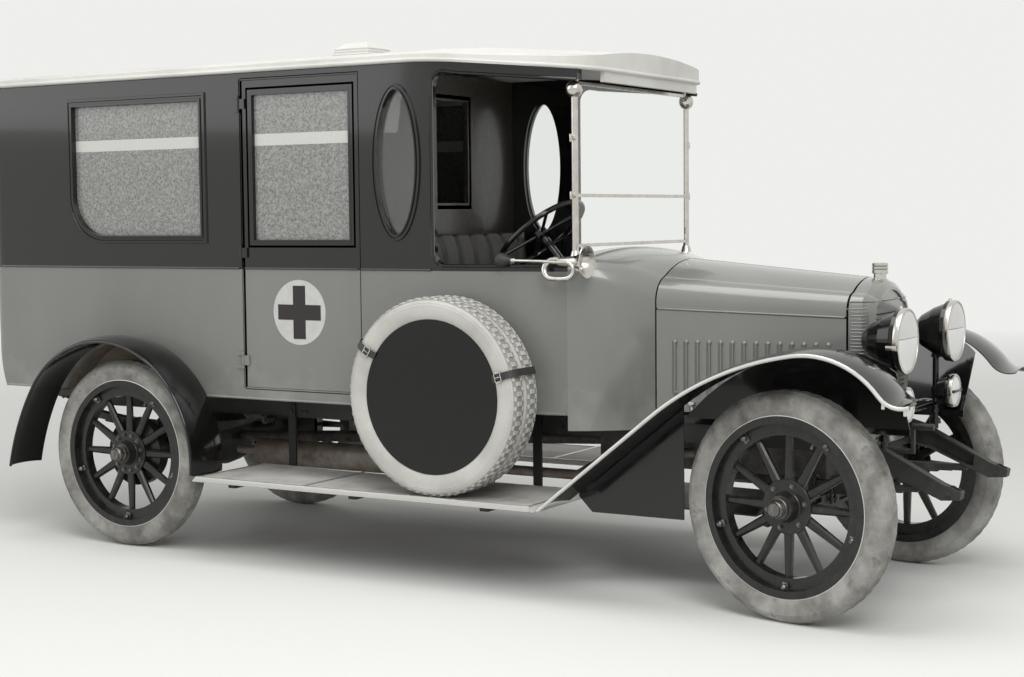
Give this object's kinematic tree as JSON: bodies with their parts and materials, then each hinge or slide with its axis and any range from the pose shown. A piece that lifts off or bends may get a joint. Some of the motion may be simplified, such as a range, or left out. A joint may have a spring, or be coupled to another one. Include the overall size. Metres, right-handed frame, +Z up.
{
  "type": "motor ambulance",
  "caption": "Motor ambulance with closed van body, half-open cab, hinged doors and bonnet, steered front wheels and two spare tyres on the running board.",
  "frame": {"origin": "on the ground, under the middle of the vehicle's outline", "axes": "+X forward, +Y to the vehicle's left, +Z up"},
  "size_m": [4.816, 1.7, 2.357],
  "materials": {
    "grey_paint": "semi-gloss mid grey body paint",
    "dark_paint": "gloss near-black body paint",
    "two_tone_paint": "grey below the belt, near-black above it",
    "black_enamel": "gloss black enamel",
    "roof_white": "off-white roof paint",
    "chassis_black": "dull black chassis paint",
    "nickel": "polished nickel",
    "bare_iron": "oily cast iron",
    "exhaust_steel": "weathered steel",
    "wheel_paint": "black wheel paint",
    "tyre_rubber": "dusty grey tyre rubber",
    "white_rubber": "near-white new tyre rubber",
    "clear_glass": "clear glass",
    "frosted_glass": "frosted mottled glass",
    "board_cover": "pale running board covering",
    "floor_wood": "plain boards",
    "seat_leather": "black leather cloth",
    "inner_wood": "dark varnished wood"
  },
  "bodies": {
    "vehicle": {"body_floor": "floor_wood", "bulkhead": "chassis_black", "crossmembers": "chassis_black", "engine_block": "bare_iron", "exhaust": "exhaust_steel", "frame_rails": "chassis_black", "front_axle": "chassis_black", "front_fenders": "black_enamel", "front_seat": "seat_leather", "headlamps": "black_enamel", "horn": "nickel", "partition": "inner_wood", "radiator_core": "grey_paint", "radiator_shell": "grey_paint", "rear_axle": "chassis_black", "rear_fenders": "black_enamel", "rear_frame": "two_tone_paint", "roof": "roof_white", "roof_ventilator": "roof_white", "running_boards": "board_cover", "scuttle": "grey_paint", "seat_base": "inner_wood", "side_glass": "frosted_glass", "side_lamps": "black_enamel", "side_wall_left": "two_tone_paint", "side_wall_right": "two_tone_paint", "spare_carrier": "black_enamel", "spare_tyres": "white_rubber", "springs": "chassis_black", "steering_column": "black_enamel", "transmission": "bare_iron", "undertray": "chassis_black", "windscreen_frame": "nickel", "windscreen_glass": "clear_glass"},
    "front_wheel_left": {"front_wheel_left": "wheel_paint", "front_tyre_left": "tyre_rubber"},
    "rear_wheel_left": {"rear_wheel_left": "wheel_paint", "rear_tyre_left": "tyre_rubber"},
    "knuckle_left": {"knuckle_left": "chassis_black"},
    "side_door_left": {"side_door_left": "two_tone_paint", "side_door_glass_left": "frosted_glass"},
    "rear_door_left": {"rear_door_left": "two_tone_paint", "rear_door_glass_left": "frosted_glass"},
    "bonnet_top_left": {"bonnet_top_left": "grey_paint"},
    "bonnet_side_left": {"bonnet_side_left": "grey_paint"},
    "front_wheel_right": {"front_wheel_right": "wheel_paint", "front_tyre_right": "tyre_rubber"},
    "rear_wheel_right": {"rear_wheel_right": "wheel_paint", "rear_tyre_right": "tyre_rubber"},
    "knuckle_right": {"knuckle_right": "chassis_black"},
    "side_door_right": {"side_door_right": "two_tone_paint", "side_door_glass_right": "frosted_glass"},
    "rear_door_right": {"rear_door_right": "two_tone_paint", "rear_door_glass_right": "frosted_glass"},
    "bonnet_top_right": {"bonnet_top_right": "grey_paint"},
    "bonnet_side_right": {"bonnet_side_right": "grey_paint"},
    "tie_rod": {"tie_rod": "chassis_black"},
    "cab_door_left": {"cab_door_left": "grey_paint"},
    "steering_wheel": {"steering_wheel": "black_enamel"}
  },
  "joints": [
    {"name": "steer_right", "type": "hinge", "parent": "vehicle", "child": "knuckle_right", "pos_m": [1.86, -0.575, 0.44], "axis": [0, 0, 1], "range_deg": [-20, 40]},
    {"name": "spin_front_right", "type": "hinge", "parent": "knuckle_right", "child": "front_wheel_right", "pos_m": [1.84524, -0.65871, 0.44], "axis": [0.1736, 0.9848, 0], "continuous": true},
    {"name": "spin_rear_right", "type": "hinge", "parent": "vehicle", "child": "rear_wheel_right", "pos_m": [-1.47, -0.66, 0.44], "axis": [0, 1, 0], "continuous": true},
    {"name": "steer_left", "type": "hinge", "parent": "vehicle", "child": "knuckle_left", "pos_m": [1.86, 0.575, 0.44], "axis": [0, 0, 1], "range_deg": [-20, 40]},
    {"name": "spin_front_left", "type": "hinge", "parent": "knuckle_left", "child": "front_wheel_left", "pos_m": [1.87476, 0.65871, 0.44], "axis": [0.1736, 0.9848, 0], "continuous": true},
    {"name": "spin_rear_left", "type": "hinge", "parent": "vehicle", "child": "rear_wheel_left", "pos_m": [-1.47, 0.66, 0.44], "axis": [0, 1, 0], "continuous": true},
    {"name": "tie_rod_pivot", "type": "hinge", "parent": "knuckle_left", "child": "tie_rod", "pos_m": [1.71228, 0.60105, 0.347], "axis": [0, 0, 1], "range_deg": [-40, 20]},
    {"name": "steering_turn", "type": "hinge", "parent": "vehicle", "child": "steering_wheel", "pos_m": [0.58, -0.31, 1.46], "axis": [0.6428, 0, -0.766], "range_deg": [-480, 240]},
    {"name": "side_door_right_open", "type": "hinge", "parent": "vehicle", "child": "side_door_right", "pos_m": [-0.783, -0.651, 1.466], "axis": [0, 0, -1], "range_deg": [0, 95]},
    {"name": "rear_door_right_open", "type": "hinge", "parent": "vehicle", "child": "rear_door_right", "pos_m": [-2.4, -0.436, 1.46], "axis": [0, 0, 1], "range_deg": [0, 110]},
    {"name": "bonnet_right_open", "type": "hinge", "parent": "vehicle", "child": "bonnet_top_right", "pos_m": [1.14, 0, 1.347], "axis": [-0.9959, 0, 0.0908], "range_deg": [0, 60]},
    {"name": "bonnet_right_fold", "type": "hinge", "parent": "bonnet_top_right", "child": "bonnet_side_right", "pos_m": [1.14, -0.356, 1.156], "axis": [-0.993, -0.1131, 0.0327], "range_deg": [-45, 0]},
    {"name": "side_door_left_open", "type": "hinge", "parent": "vehicle", "child": "side_door_left", "pos_m": [-0.783, 0.651, 1.466], "axis": [0, 0, 1], "range_deg": [0, 95]},
    {"name": "rear_door_left_open", "type": "hinge", "parent": "vehicle", "child": "rear_door_left", "pos_m": [-2.4, 0.436, 1.46], "axis": [0, 0, -1], "range_deg": [0, 110]},
    {"name": "bonnet_left_open", "type": "hinge", "parent": "vehicle", "child": "bonnet_top_left", "pos_m": [1.14, 0, 1.347], "axis": [0.9959, 0, -0.0908], "range_deg": [0, 60]},
    {"name": "bonnet_left_fold", "type": "hinge", "parent": "bonnet_top_left", "child": "bonnet_side_left", "pos_m": [1.14, 0.356, 1.156], "axis": [0.993, -0.1131, -0.0327], "range_deg": [-45, 0]},
    {"name": "cab_door_left_open", "type": "hinge", "parent": "vehicle", "child": "cab_door_left", "pos_m": [0.803, 0.597, 1.05], "axis": [0, 0, -1], "range_deg": [0, 80]}
  ],
  "couplings": [
    {"joint": "steer_left", "follows": "steer_right", "ratio": 1},
    {"joint": "tie_rod_pivot", "follows": "steer_right", "ratio": -1},
    {"joint": "steering_turn", "follows": "steer_right", "ratio": -12},
    {"joint": "bonnet_right_fold", "follows": "bonnet_right_open", "ratio": -0.75},
    {"joint": "bonnet_left_fold", "follows": "bonnet_left_open", "ratio": -0.75}
  ]
}
